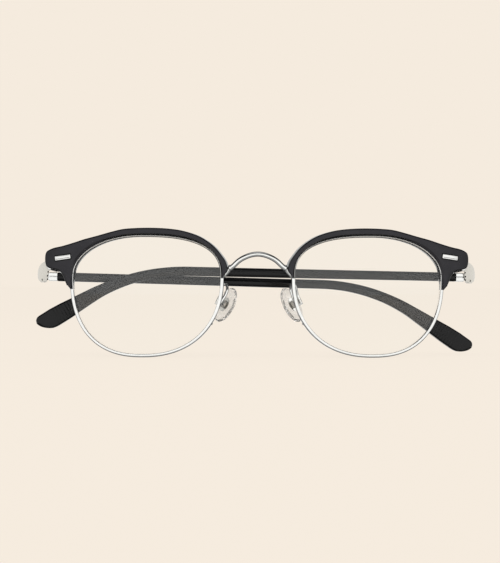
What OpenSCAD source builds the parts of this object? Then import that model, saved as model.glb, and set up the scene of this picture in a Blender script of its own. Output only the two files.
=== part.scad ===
// Browline spectacles, folded and standing on their rims.
// +Z is up, the front of the frame looks towards -Y, and X runs across the face.
// "right" and "left" are the wearer's: right is the -X side.

/* [Lenses] */
// Width of each lens
lens_w = 47.4; // [45:0.2:50]
// Height of each lens
lens_h = 37.8; // [35:0.1:41]
// Distance between the two lenses
lens_gap = 22.5; // [20:0.5:24]
// Thickness of each lens
lens_t = 1.4; // [1.1:0.1:1.7]
// Radius of the curve that the lenses and the front follow
base_r = 125; // [100:1:180]
// Angle that each lens turns back from the nose to the temple
wrap_angle = 6.5; // [4:0.5:9]

/* [Eyewires] */
// Depth of the eyewire, front to back
wire_depth = 1.9; // [1.7:0.1:2.3]
// Height of the eyewire's lips inside the edge of the lens
wire_lip = 0.5; // [0.4:0.05:0.6]
// Metal outside the edge of the lens
wire_back = 0.5; // [0.4:0.05:0.6]

/* [Brows] */
// Front of the brow, ahead of the edge of the lens
brow_front = 1.9; // [1.7:0.1:2.3]
// Back of the brow beside the lens, behind the edge of the lens
brow_rear = 3.2; // [3:0.1:3.6]
// Back of the brow at its outer end
brow_rear_end = 1.2; // [1:0.1:1.5]
// Rounding of the brow's edges
brow_round = 0.5; // [0.3:0.05:0.6]
// Scale of the margin that the brow has round the lens
brow_margin = 1; // [0.95:0.01:1.05]
// Thickness of the sheet bracket behind the brow's outer end
bracket_t = 0.6; // [0.5:0.05:0.7]
// Length of the bright plaque on the brow's corner
plaque_l = 5.2; // [4.6:0.1:5.6]
// Height of the plaque
plaque_h = 1.45; // [1.2:0.05:1.7]

/* [Bridge] */
// Height of the bridge's crest above the lens centre
bridge_rise = 12.8; // [11.5:0.1:14]
// Diameter of the bridge wire
bridge_d = 1.6; // [1.4:0.1:1.8]

/* [Hinges] */
// Distance from the lens's outer edge to the hinge axis, across the face
hinge_out = 9.75; // [9.4:0.05:10.2]
// Distance from the back of the front's outer ends to the hinge axis, backwards
hinge_back = 5.32; // [4.9:0.05:6.0]
// Radius of the knuckles
knuckle_r = 1.25; // [1.15:0.05:1.4]
// Height of the temple's knuckle
knuckle_h = 2; // [1.8:0.1:2.1]
// Radius of the hinge screw's shank
pin_r = 0.5; // [0.4:0.05:0.55]

/* [Temples] */
// Length of the right temple from the hinge to the tip, along its bend
temple_l_right = 145.5; // [138:0.5:150]
// Length of the left temple
temple_l_left = 142.2; // [138:0.5:150]
// Length from the hinge to the start of the bend
temple_straight = 90; // [86:1:93]
// Radius of the bend over the ear
ear_r = 59; // [50:1:70]
// Angle of the bend over the ear
ear_angle = 31.2; // [27:0.5:35]
// Thickness of the temple, seen from above
temple_t = 3; // [2.8:0.1:3.2]
// Height of the temple at the hinge
temple_h = 2.8; // [2.7:0.1:3]
// Height of the temple at its tip
tip_h = 6; // [5.2:0.1:6.4]
// Diameter of the core wire inside the temple
core_d = 1.1; // [0.9:0.1:1.3]
// Tilt of the opened temples below the front's own square
temple_tilt = 2; // [1:0.5:8]

/* [Nose pads] */
// Length of a nose pad
pad_l = 11.6; // [10.6:0.1:12.6]
// Width of a nose pad
pad_w = 6.8; // [6.2:0.1:7.4]
// Thickness of a nose pad
pad_t = 1.9; // [1.7:0.1:2.2]
// Diameter of the pad arm's wire
arm_d = 0.9; // [0.8:0.05:1]

/* [Hidden] */

right = -1;
left = 1;
steel = [0.82, 0.82, 0.80];
satin = [0.74, 0.73, 0.71];
black = [0.09, 0.09, 0.10];
clear = [0.90, 0.92, 0.92, 0.4];

// Place of the front in the part's own frame: the origin lies under the middle of the folded part.
front_y = -13.8;
// Small gaps between pieces
fit = 0.05;
eps = 0.01;

// Outline of the lens: four quarters of superellipses that meet at one crossing.
// Each quarter has its own half width, half height and fullness.
share_temporal = 0.469;
share_upper = 0.348;
temporal_w = lens_w * share_temporal;
nasal_w = lens_w - temporal_w;
upper_h = lens_h * share_upper;
lower_h = lens_h - upper_h;
full_upper_temporal = 2.07;
full_upper_nasal = 2.6;
full_lower_nasal = 2.26;
full_lower_temporal = 2.38;
cross_u = (nasal_w - temporal_w) / 2;
cross_v = (lower_h - upper_h) / 2;
lens_steps = 84;

// Place of the lens centre on the left side
eye_x = lens_gap / 2 + lens_w / 2 * cos(wrap_angle);
eye_y = 0.45;
eye_z = wire_back + lens_h / 2;

function unit(a) = a / norm(a);
function mean(list, i = 0) = i == len(list) - 1 ? list[i] : list[i] + mean(list, i + 1);
function middle(list) = mean(list) / len(list);
function turned(a) = [a[1], -a[0]];
function smooth(t) = let (k = min(max(t, 0), 1)) k * k * (3 - 2 * k);

// Smooth curve through points: "k" steps from each point to the next
function blend(a, b, c, d, t) = 0.5 * (2 * b + (c - a) * t + (2 * a - 5 * b + 4 * c - d) * t * t
    + (3 * b - a - 3 * c + d) * t * t * t);
function spline(p, k) = [
    for (i = [0 : len(p) - 2], j = [0 : k - 1])
        blend(p[max(i - 1, 0)], p[i], p[i + 1], p[min(i + 2, len(p) - 1)], j / k),
    p[len(p) - 1]
];

// The quarter that holds angle t, as [half width, half height, fullness]
function quarter(t) = let (k = (t % 360 + 360) % 360)
    k < 90 ? [temporal_w, upper_h, full_upper_temporal]
    : k < 180 ? [nasal_w, upper_h, full_upper_nasal]
    : k < 270 ? [nasal_w, lower_h, full_lower_nasal]
    : [temporal_w, lower_h, full_lower_temporal];
function lens_radius(t) = let (q = quarter(t))
    pow(pow(abs(cos(t)) / q[0], q[2]) + pow(abs(sin(t)) / q[1], q[2]), -1 / q[2]);
function lens_point(t) = [cross_u, cross_v] + lens_radius(t) * [cos(t), sin(t)];
function lens_normal(t) = turned(unit(lens_point(t + 0.5) - lens_point(t - 0.5)));

// Depth of the base curve at a point of the front, and a point set on it
function sag(p) = base_r - sqrt(base_r * base_r - p[0] * p[0] - p[1] * p[1]);
function on_curve(p, depth) = [p[0], sag(p) + depth, p[1]];

// Closed skin over rings that have the same number of points, each ring
// counter-clockwise seen against the way that the rings follow each other.
// "core" lists the ring points whose middle closes each end.
module loft(rings, core) {
    n = len(rings[0]);
    m = len(rings);
    picks = is_undef(core) ? [for (j = [0 : n - 1]) j] : core;
    ends = [for (r = [rings[0], rings[m - 1]]) middle([for (j = picks) r[j]])];
    walls = [
        for (i = [0 : m - 2], j = [0 : n - 1])
            let (a = i * n + j, b = i * n + (j + 1) % n)
                each [[a, b + n, b], [a, a + n, b + n]]
    ];
    caps = [
        for (j = [0 : n - 1])
            let (k = (j + 1) % n)
                each [[m * n, j, k], [m * n + 1, (m - 1) * n + k, (m - 1) * n + j]]
    ];
    polyhedron(concat([for (r = rings) each r], ends), concat(walls, caps));
}

// Wire of round section along a path; "radii" gives the radius at each point.
function carried(dirs, n, i = 0) = i == len(dirs) ? []
    : let (k = unit(n - (n * dirs[i]) * dirs[i])) concat([k], carried(dirs, k, i + 1));
module wire(path, radii, start, sides = 8) {
    last = len(path) - 1;
    dirs = [for (i = [0 : last]) unit(path[min(i + 1, last)] - path[max(i - 1, 0)])];
    norms = carried(dirs, start);
    loft([
        for (i = [0 : last])
            [for (j = [0 : sides - 1])
                let (a = j * 360 / sides)
                    path[i] + radii[i] * (cos(a) * norms[i] + sin(a) * cross(dirs[i], norms[i]))]
    ]);
}

// Places a piece modelled for the left side on either side
module on_side(side) {
    translate([0, front_y, 0])
        mirror([side < 0 ? 1 : 0, 0, 0])
            children();
}

// Frame of one lens: X to the temple, Y backwards, Z up, from the lens centre
module at_eye(side) {
    on_side(side)
        translate([eye_x, eye_y, eye_z])
            rotate([0, 0, wrap_angle])
                children();
}

// Eyewire: a channel that grips the lens, split at the temple where the rim lock closes it
split_angle = 2.7;
split_gap = 0.6;
groove_half = 0.68;
wire_corner = 0.2;
wire_section = let (d = wire_depth / 2, c = wire_corner) [
    [-wire_lip, -d], [wire_back - c, -d], [wire_back, c - d], [wire_back, d - c],
    [wire_back - c, d], [-wire_lip, d], [-wire_lip, groove_half], [fit, 0], [-wire_lip, -groove_half]
];
module eyewire(side) {
    color(steel)
        at_eye(side)
            loft([
                for (i = [0 : lens_steps])
                    let (t = split_angle + split_gap / 2 + i * (360 - split_gap) / lens_steps)
                        [for (s = wire_section) on_curve(lens_point(t) + s[0] * lens_normal(t), s[1])]
            ], [2, 3, 7]);
}

// Lens: a curved shell with a bevelled edge that stands in the eyewire's groove
bevel_in = 0.56;
lens_rings = [0.12, 0.45, 0.75];
module lens(side) {
    color(clear)
        at_eye(side)
            loft(concat(
                [for (k = lens_rings) lens_ring(k, 0, -lens_t / 2)],
                [lens_ring(1, -bevel_in, -lens_t / 2)],
                [lens_ring(1, 0, 0)],
                [lens_ring(1, -bevel_in, lens_t / 2)],
                [for (i = [2 : -1 : 0]) lens_ring(lens_rings[i], 0, lens_t / 2)]
            ));
}
function lens_ring(k, off, depth) = [
    for (i = [lens_steps - 1 : -1 : 0])
        let (t = i * 360 / lens_steps)
            on_curve(k * (lens_point(t) + off * lens_normal(t)), depth)
];

// Brow: its outer edge as the margin that it keeps round the lens, from nose to temple.
// Each pair is [angle about the lens's crossing, margin].
brow_edge = [[177.5, 1.4], [175, 1.85], [170, 1.75], [165, 1.4], [158.5, 1.5], [151, 1.85],
    [143, 2.25], [132, 2.4], [121, 2.3], [108, 2.15], [95, 2.05], [82, 2], [68, 2.1], [54, 2.05],
    [42, 2.4], [33, 3.45], [25.8, 4.9], [20.6, 6.9], [17.5, 8.95], [15, 10.2], [13.2, 10.4],
    [10.6, 10], [8, 9.4], [6, 8.7], [5, 7.65], [4.6, 5.85], [4.1, 4.6], [2.6, 3.5], [0, 2.6],
    [-3, 2.15], [-5.2, 1.75], [-6.8, 1.5]];
brow_points = [
    for (e = brow_edge)
        [cross_u, cross_v] + (lens_radius(e[0]) + brow_margin * e[1]) * [cos(e[0]), sin(e[0])]
];
brow_steps = 2;
brow_path = spline(brow_points, brow_steps);
brow_last = len(brow_path) - 1;
brow_in = [
    for (i = [0 : brow_last])
        turned(unit(brow_path[min(i + 1, brow_last)] - brow_path[max(i - 1, 0)]))
];
lip_front = 0.2;
lip_rear = 0.7;
lip_rear_side = 0.15;
taper_start = 0.42 * lens_w;
taper_length = 11;
// Turn of the brow's inner end, so that its cut runs down towards the lens
nose_cut = 3.5;
nose_cut_from = 165;
// The same for its outer end, whose tip is cut on a slant
leg_cut = 3.3;
leg_cut_from = -1.5;
function rear_depth(p) = brow_rear
    - (brow_rear - brow_rear_end) * smooth((p[0] - taper_start) / taper_length);
function brow_ring(i) = let (
    o = brow_path[i],
    d = o - [cross_u, cross_v],
    t = atan2(d[1], d[0]),
    k = t + nose_cut * smooth((t - nose_cut_from) / 12) - leg_cut * smooth((leg_cut_from - t) / 5.3),
    e = lens_point(k),
    m = lens_normal(k),
    r = min(brow_round, 0.3 * (norm(d) - lens_radius(t))),
    b = o + r * brow_in[i],
    s = o + 0.3 * r * brow_in[i],
    g = wire_back + fit,
    w = wire_depth / 2 + fit,
    back = rear_depth(o),
    side_in = rear_depth(e),
    rear_lip = lip_rear + lip_rear_side * pow(cos(t), 2)
) [
    on_curve(e - lip_front * m, -brow_front + r),
    on_curve(e + 0.1 * m, -brow_front),
    on_curve(b, -brow_front),
    on_curve(s, -brow_front + 0.3 * r),
    on_curve(o, -brow_front + r),
    on_curve(o, back - r),
    on_curve(s, back - 0.3 * r),
    on_curve(b, back),
    on_curve(e + 0.1 * m, side_in),
    on_curve(e - rear_lip * m, side_in - r),
    on_curve(e - rear_lip * m, w),
    on_curve(e + g * m, w),
    on_curve(e + g * m, -w),
    on_curve(e - lip_front * m, -w)
];
module brow(side) {
    color(black)
        difference() {
            at_eye(side)
                loft([for (i = [brow_last : -1 : 0]) brow_ring(i)], [4, 5, 11, 12]);
            at_plaque(side)
                cube([plaque_l + 2 * pocket_gap, 2 * plaque_t, plaque_h + 2 * pocket_gap], center = true);
            at_lock(side)
                lock_space();
            at_brow_screw(side)
                cylinder(r = brow_screw_r + fit, h = brow_screw_l + fit, $fn = 32);
            bridge_notch();
        }
}

// Plaque: a bright rounded bar let into the front of the brow's corner
plaque_t = 0.8;
plaque_round = 1.3;
pocket_gap = 0.2;
plaque_tilt = 7.9;
// Places of the right and the left plaque, which are not quite alike
plaque_places = [
    [cross_u + temporal_w + 2.85, cross_v + 5.95],
    [cross_u + temporal_w + 2.5, cross_v + 6.35]
];
module at_plaque(side) {
    p = one_of(plaque_places, side);
    at_eye(side)
        translate(on_curve(p, -brow_front))
            rotate([0, plaque_tilt, atan(p[0] / base_r)])
                children();
}
module plaque(side) {
    color(steel)
        at_plaque(side)
            intersection() {
                translate([0, plaque_t / 4, 0])
                    cube([plaque_l, plaque_t * 1.4, plaque_h], center = true);
                translate([0, plaque_round - plaque_t / 2, 0])
                    rotate([0, 90, 0])
                        cylinder(r = plaque_round, h = plaque_l + 1, center = true, $fn = 48);
            }
}

// Bracket: thin sheet behind the brow's outer end, a little larger below than the brow
bracket_low = 0.65;
bracket_first = 16;
bracket_low_first = 22;
bracket_inner = 1.6;
bracket_fit = 0.08;
module brow_bracket(side) {
    color(steel)
        difference() {
            at_eye(side)
                loft([for (i = [brow_last - 3 : -1 : brow_steps * bracket_first]) bracket_ring(i)]);
            at_brow_screw(side)
                translate([0, 0, -bracket_t - 1])
                    cylinder(r = brow_screw_r + fit, h = bracket_t + 2, $fn = 32);
            at_lock(side)
                lock_space();
        }
}
// Inner and outer end of the brow's back at ring i, and a point on the line between them
function back_ends(i) = let (r = brow_ring(i)) [r[8], r[7]];
function back_at(i, way) = let (k = back_ends(i)) k[0] + way * unit(k[1] - k[0]);
function bracket_ring(i) = let (
    k = back_ends(i),
    whole = norm(k[1] - k[0]),
    low = bracket_low * smooth((i - brow_steps * bracket_low_first) / brow_steps),
    p = brow_path[i] - low * brow_in[i],
    a = back_at(i, min(bracket_inner, 0.4 * whole)),
    b = low > 0 ? on_curve(p, rear_depth(brow_path[i])) : back_at(i, whole - 0.8),
    near = [0, bracket_fit, 0],
    far = [0, bracket_fit + bracket_t, 0]
) [a + near, b + near, b + far, a + far];

// Brow screw: driven from behind through the bracket into the brow's outer end
brow_screw_r = 0.5;
brow_screw_l = 1.9;
brow_screw_head_r = 0.95;
brow_screw_head = 0.45;
brow_screw_ring = brow_steps * 21;
brow_screw_in = 4.6;
module at_brow_screw(side) {
    k = back_ends(brow_screw_ring);
    at_eye(side)
        translate(back_at(brow_screw_ring, brow_screw_in))
            rotate([90, 0, atan((k[1][1] - k[0][1]) / (k[1][0] - k[0][0]))])
                children();
}
module brow_screws() {
    color(steel)
        for (side = [right, left])
            at_brow_screw(side)
                difference() {
                    union() {
                        translate([0, 0, -bracket_t - bracket_fit - fit])
                            cylinder(r = brow_screw_r, h = brow_screw_l + bracket_t, $fn = 32);
                        translate([0, 0, -bracket_t - bracket_fit - fit - brow_screw_head])
                            cylinder(r = brow_screw_head_r, h = brow_screw_head, $fn = 32);
                    }
                    screw_slot(brow_screw_head_r, -bracket_t - bracket_fit - fit - brow_screw_head);
                }
}
slot_w = 0.25;
slot_depth = 0.22;
module screw_slot(r, z) {
    translate([0, 0, z])
        cube([3 * r, slot_w, 2 * slot_depth], center = true);
}

// Rim lock: two blocks on the ends of the split eyewire, drawn together by a screw
lock_w = 1.5;
lock_deep = 3;
lock_h = 1.7;
lock_gap = 0.2;
lock_screw_r = 0.45;
lock_head_r = 0.65;
lock_head = 0.5;
lock_room = 0.15;
lock_v = cross_v + temporal_w * sin(split_angle);
lock_u = cross_u + temporal_w + wire_back + fit;
module at_lock(side) {
    at_eye(side)
        translate(on_curve([lock_u, lock_v], 0))
            children();
}
module lock_space() {
    h = 2 * lock_h + lock_gap + 2 * lock_room;
    translate([-2 * fit, -wire_depth / 4 - lock_room, -h / 2])
        cube([lock_w + lock_room + 2 * fit, lock_deep + 2 * lock_room, h + lock_head]);
}
module rim_lock(side) {
    color(steel)
        at_lock(side)
            difference() {
                for (z = [lock_gap / 2, -lock_gap / 2 - lock_h])
                    translate([0, -wire_depth / 4, z])
                        cube([lock_w, lock_deep, lock_h]);
                translate([lock_w / 2, lock_screw_y, -lock_h - 1])
                    cylinder(r = lock_screw_r + fit / 2, h = 2 * lock_h + 2, $fn = 32);
            }
}
lock_screw_y = lock_deep / 2 - wire_depth / 4 + 0.4;
module rim_lock_screws() {
    color(satin)
        for (side = [right, left])
            at_lock(side)
                translate([lock_w / 2, lock_screw_y, 0])
                    difference() {
                        union() {
                            translate([0, 0, -lock_h])
                                cylinder(r = lock_screw_r, h = 2 * lock_h + lock_gap / 2, $fn = 32);
                            translate([0, 0, lock_h + lock_gap / 2])
                                cylinder(r = lock_head_r, h = lock_head, $fn = 32);
                        }
                        screw_slot(lock_head_r, lock_h + lock_gap / 2 + lock_head);
                    }
}

// Bridge: a round wire that arches over the nose and comes down beside the brows' inner ends
bridge_foot = 5.9;
bridge_end_r = 0.5;
bridge_half = let (x = lens_gap / 2, z = eye_z, top = bridge_rise) [
    [x - 0.55, 0, z + bridge_foot - 0.15], [x - 1.15, -0.05, z + bridge_foot + 0.55],
    [x - 1.95, -0.1, z + bridge_foot + 1.5], [x - 2.5, -0.2, z + bridge_foot + 2.3],
    [x - 3.7, -0.4, z + top - 3.65], [x - 5.3, -0.6, z + top - 2.15],
    [x - 7, -0.8, z + top - 1.1], [x - 9.1, -0.9, z + top - 0.3]
];
bridge_turns = concat(
    bridge_half,
    [[0, -0.95, eye_z + bridge_rise]],
    [for (i = [len(bridge_half) - 1 : -1 : 0]) [-bridge_half[i][0], bridge_half[i][1], bridge_half[i][2]]]
);
bridge_steps = 3;
module bridge() {
    path = spline(bridge_turns, bridge_steps);
    last = len(path) - 1;
    radii = [
        for (i = [0 : last])
            bridge_end_r + (bridge_d / 2 - bridge_end_r) * smooth(min(i, last - i) / (4 * bridge_steps))
    ];
    color(steel)
        on_side(left)
            wire(path, radii, [0, 1, 0], 12);
}

// Square notches that the brows have for the bridge's ends, with a little room round the wire
notch_room = 0.06;
notch_l = 4.8;
notch_start = 0.5;
module bridge_notch() {
    p = bridge_half[0];
    way = unit(bridge_half[3] - p);
    across = unit(cross([0, 1, 0], way));
    w = bridge_d / 2 + notch_room;
    for (side = [right, left])
        on_side(side)
            multmatrix(matrix(across, cross(way, across), way, p - notch_start * way))
                translate([-w, -w, 0])
                    cube([2 * w, 2 * w, notch_l]);
}

// Hinge axes. Folded and opened directions of each temple set its axis.
// [backward slope, upward slope] of the folded right and left temples
fold_slopes = [[6.5, -1.5], [-0.5, 1.1]];
function fold_slope(side) = fold_slopes[side < 0 ? 0 : 1];
function folded_way(side) = let (s = fold_slope(side))
    unit([-side * cos(s[0]), sin(s[0]), tan(s[1])]);
open_way = [0, cos(temple_tilt), -sin(temple_tilt)];
function hinge_axis(side) = -side * unit(cross(folded_way(side), open_way));
hinge_height = 5.75;
hinge_x = eye_x + lens_w / 2 * cos(wrap_angle) + hinge_out;
function front_end() = in_front(
    on_curve([hinge_x - eye_x + arm_start, hinge_height], brow_rear_end + bracket_t)
);
function hinge_point(side) = [side * hinge_x, front_y + front_end()[1] + hinge_back, eye_z + hinge_height];

function matrix(x, y, z, p) = [
    [x[0], y[0], z[0], p[0]], [x[1], y[1], z[1], p[1]], [x[2], y[2], z[2], p[2]], [0, 0, 0, 1]
];
// Frame of the front's half of a hinge: X outwards, Y along the opened temple, Z along the axis
module at_hinge(side) {
    axis = hinge_axis(side);
    multmatrix(matrix(side * cross(open_way, axis), open_way, axis, hinge_point(side)))
        children();
}
// Frame of a folded temple: X along it, Y to its outer face, Z along the axis
module at_temple(side) {
    axis = hinge_axis(side);
    way = folded_way(side);
    multmatrix(matrix(way, -side * cross(axis, way), axis, hinge_point(side)))
        children();
}

// Endpiece: a satin arm that bends back round the hinge and carries its two knuckles
// Its outline seen from the front, about the hinge axis
arm_outline = [[-4.6, 1.3], [-4.6, 4.7], [-1.2, 4.75], [-0.4, 4.5], [0.3, 4.05], [0.95, 3.4],
    [1.45, 2.5], [1.75, 1.4], [1.85, 0.3], [1.7, -0.5], [1.3, -1.25], [0.7, -1.7], [-0.1, -1.85],
    [-1, -1.7], [-1.6, -1.2], [-1.9, -0.4], [-1.95, 0.6], [-2, 1.6], [-2.3, 2]];
arm_bend_r = 5;
arm_t = 1.5;
arm_back = 1.1;
arm_top = 4.7;
arm_low = -1.85;
shell = 0.65;
arm_start = -4.6;
slot_half = knuckle_h / 2 + fit;
module endpiece(side) {
    out = knuckle_r + shell;
    color(satin)
        at_hinge(side)
            difference() {
                intersection() {
                    union() {
                        translate([0, 0, arm_low])
                            linear_extrude(arm_top - arm_low)
                                intersection() {
                                    translate([out - arm_bend_r, arm_back])
                                        difference() {
                                            circle(r = arm_bend_r, $fn = 96);
                                            circle(r = arm_bend_r - arm_t, $fn = 96);
                                        }
                                    translate([arm_start, arm_back - arm_bend_r - 1])
                                        square([out - arm_start + 1, arm_bend_r + 1]);
                                }
                        translate([0, 0, arm_low])
                            cylinder(r = knuckle_r, h = arm_top - arm_low, $fn = 48);
                        translate([0, -knuckle_r, arm_low])
                            cube([knuckle_r, knuckle_r + arm_back, arm_top - arm_low]);
                    }
                    rotate([90, 0, 0])
                        linear_extrude(4 * arm_bend_r, center = true)
                            polygon(arm_outline);
                }
                translate([0, 0, -slot_half])
                    cylinder(r = knuckle_r + 2 * fit, h = 2 * slot_half, $fn = 48);
                translate([-knuckle_r - 2 * fit, 0, -slot_half])
                    cube([2 * knuckle_r + 4 * fit, 2 * arm_bend_r, 2 * slot_half]);
                translate([-2 * arm_bend_r, -knuckle_r - 2 * fit, -slot_half])
                    cube([2 * arm_bend_r, 2 * arm_bend_r, 2 * slot_half]);
                translate([0, 0, arm_low - 1])
                    cylinder(r = pin_r + fit / 2, h = pin_l + 1 + fit, $fn = 32);
                translate([0, 0, arm_low - 1])
                    cylinder(r = pin_head_r + fit, h = 1 + pin_head, $fn = 32);
            }
}

// Hinge screw: enters from below and holds all knuckles of one hinge
pin_head_r = 0.85;
pin_head = 0.4;
pin_l = 4.4;
module hinge_screw(side) {
    color(steel)
        at_hinge(side)
            translate([0, 0, arm_low])
                difference() {
                    union() {
                        cylinder(r = pin_r, h = pin_l, $fn = 32);
                        cylinder(r = pin_head_r, h = pin_head - fit, $fn = 32);
                    }
                    screw_slot(pin_head_r, 0);
                }
}

// Nose pads: place of the pad's middle, its turns, and how far each pad is rocked on its screw
pad_ins = [1.4, 0.5];
pad_back = 6.6;
pad_drop = 3;
pad_lean = 25;
pad_splay = 50;
pad_rocks = [-3, -3];
pivot_back = 2.3;
function one_of(list, side) = list[side < 0 ? 0 : 1];
function pad_place(side) = [lens_gap / 2 - one_of(pad_ins, side), pad_back, eye_z - pad_drop];
pad_x = [cos(pad_splay) * cos(pad_lean), -sin(pad_splay), cos(pad_splay) * sin(pad_lean)];
pad_z = [-sin(pad_lean), 0, cos(pad_lean)];
function pivot(side) = pad_place(side) + pivot_back * pad_x;
module at_pad_box(side) {
    on_side(side)
        multmatrix(matrix(pad_x, cross(pad_z, pad_x), pad_z, pivot(side)))
            children();
}
module at_pad(side) {
    at_pad_box(side)
        rotate([0, one_of(pad_rocks, side), 0])
            children();
}

// Pad: a clear oval cushion, seen from the pivot with its face towards -X
pad_steps = 28;
core_t = 0.4;
pad_rear = pivot_back - pad_t / 2;
module nose_pad(side) {
    layers = [[0, 0.62], [0.12, 0.86], [0.45, 1], [0.72, 0.94], [0.92, 0.76], [1, 0.5]];
    color(clear)
        at_pad(side)
            difference() {
                loft([
                    for (k = layers)
                        [for (i = [0 : pad_steps - 1])
                            let (a = i * 360 / pad_steps, y = pad_w / 2 * sin(a), z = pad_l / 2 * cos(a))
                                [-pad_rear - k[0] * pad_t, k[1] * y, k[1] * z * (1 - 0.06 * k[0] * sin(a))]]
                ]);
                translate([-pad_rear - core_t - fit, -core_w / 2 - fit, -core_l / 2 - fit])
                    cube([core_t + 1, core_w + 2 * fit, core_l + 2 * fit]);
            }
}

// Pad core: a metal plate in the pad's back with the tab that the box holds
core_w = 2.6;
core_l = 4.6;
tab_t = 1;
tab_r = 0.95;
pad_pin_r = 0.35;
module pad_core(side) {
    color(steel)
        at_pad(side)
            difference() {
                union() {
                    translate([-pad_rear - core_t, -core_w / 2, -core_l / 2])
                        cube([core_t, core_w, core_l]);
                    translate([-pad_rear, -tab_t / 2, -tab_r])
                        cube([pad_rear, tab_t, 2 * tab_r]);
                    rotate([90, 0, 0])
                        cylinder(r = tab_r, h = tab_t, center = true, $fn = 32);
                }
                rotate([90, 0, 0])
                    cylinder(r = pad_pin_r + fit, h = 2 * tab_t, center = true, $fn = 32);
            }
}

// Pad box: a small clevis on the end of the pad arm
cheek = 0.5;
box_back = 0.5;
box_h = 2.4;
box_room = 0.05;
module pad_box(side) {
    w = tab_t + 2 * box_room + 2 * cheek;
    color(steel)
        at_pad_box(side)
            difference() {
                translate([-0.55, -w / 2, -box_h / 2])
                    cube([0.55 + tab_r + 0.3 + box_back, w, box_h]);
                translate([-2, -tab_t / 2 - box_room, -box_h])
                    cube([2 + tab_r + 0.3, tab_t + 2 * box_room, 2 * box_h]);
                rotate([90, 0, 0])
                    cylinder(r = pad_pin_r + fit / 2, h = 2 * w, center = true, $fn = 32);
            }
}
module pad_screws() {
    w = tab_t + 2 * box_room + 2 * cheek;
    color(satin)
        for (side = [right, left])
            at_pad_box(side)
                rotate([90, 0, 0])
                    union() {
                        cylinder(r = pad_pin_r, h = w, center = true, $fn = 32);
                        translate([0, 0, w / 2])
                            cylinder(r = 0.6, h = 0.35, $fn = 32);
                    }
}

// Pad arm: a wire that is soldered along the back of the eyewire, climbs, turns in a small loop
// and comes down along the back of the box. It starts at these angles round the lens.
arm_foot = [214, 207, 200];
function in_front(p) = [
    eye_x + p[0] * cos(wrap_angle) - p[1] * sin(wrap_angle),
    eye_y + p[0] * sin(wrap_angle) + p[1] * cos(wrap_angle),
    eye_z + p[2]
];
arm_seat = -0.02;
arm_bow = 1.5;
module pad_arm(side) {
    reach = wire_depth / 2 + arm_d / 2 - arm_seat;
    n = pad_place(side);
    low = pivot(side) + (tab_r + 0.3 + box_back + arm_d / 2 - arm_seat) * pad_x;
    turns = concat(
        [for (t = arm_foot) in_front(on_curve(lens_point(t), reach))],
        [
            [n[0] + 0.1, 2, n[2] + 3.2], [n[0] - 0.4, 2.5, n[2] + 5],
            [n[0] - 0.1, 3.6, n[2] + 6.3], [n[0] + 0.9, 4.3, n[2] + 6.3],
            low + 4 * pad_z + [arm_bow * 0.3, arm_bow * 0.5, 0], low + 1.8 * pad_z, low - 0.6 * pad_z
        ]
    );
    path = spline(turns, 3);
    color(steel)
        on_side(side)
            wire(path, [for (p = path) arm_d / 2], [1, 0, 0]);
}

// Temples. Place along the core line at length l from the hinge, and the slope there.
temple_ls = [temple_l_right, temple_l_left];
ear_l = ear_r * ear_angle * PI / 180;
function bend_angle(l) = min(max((l - temple_straight) / ear_l, 0), 1) * ear_angle;
function temple_place(l) = let (
    a = bend_angle(l),
    over = max(l - temple_straight - ear_l, 0)
) [
    min(l, temple_straight) + ear_r * sin(a) + over * cos(a),
    -ear_r * (1 - cos(a)) - over * sin(a)
];
joint_l = 4.4;
nominal_l = 144;
// Height of the temple: it widens behind the bend towards the tip
function height_at(l) = lookup(l, [
    [joint_l, temple_h], [98, temple_h + 0.1], [111, temple_h + 0.4], [120, temple_h + 0.95],
    [127, tip_h - 1.3], [134, tip_h - 0.25], [138, tip_h], [nominal_l, tip_h - 0.5]
]);
function thick_at(l) = lookup(l, [
    [joint_l, temple_t], [60, temple_t - 0.2], [98, temple_t - 0.1], [134, temple_t + 0.1]
]);
tip_round = 4.5;
tip_slant = 9;
function tip_scale(l, whole, long) = let (k = max(l - whole + long, 0) / long)
    pow(max(1 - pow(k, 2.3), 0.01), 1 / 2.3);
temple_sides = 12;
squareness = 0.75;
function bulge(c) = sign(c) * pow(abs(c), squareness);
// Ring across the temple at length l, "t" thick, reaching "up" above and "down" below the core line
function temple_ring(l, up, down, t, sides) = let (p = temple_place(l), a = bend_angle(l)) [
    for (j = [0 : sides - 1])
        let (
            b = (j + 0.5) * 360 / sides,
            y = t / 2 * bulge(cos(b)),
            z = (sin(b) > 0 ? up : down) * bulge(sin(b))
        )
            [p[0] + z * sin(a), y, p[1] + z * cos(a)]
];
function temple_stops(whole) = concat(
    [for (l = [0 : 0.125 : 0.99]) joint_l + l * (temple_straight - joint_l)],
    [for (i = [0 : 11]) temple_straight + i / 11 * ear_l],
    [for (i = [1 : 3]) temple_straight + ear_l
        + i / 3 * (whole - tip_slant - temple_straight - ear_l)],
    [for (a = [12, 25, 38, 50, 61, 71, 81, 90]) whole - tip_slant + tip_slant * sin(a)]
);
module temple(side) {
    whole = one_of(temple_ls, side);
    color(black)
        at_temple(side)
            difference() {
                loft([
                    for (l = temple_stops(whole))
                        let (
                            k = tip_scale(l, whole, tip_round),
                            low = tip_scale(l, whole, tip_slant),
                            n = l * nominal_l / whole,
                            h = height_at(n) / 2
                        )
                            temple_ring(l, k * h, low * h, k * thick_at(n), temple_sides)
                ]);
                core_body(side, fit / 2);
            }
}

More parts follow.
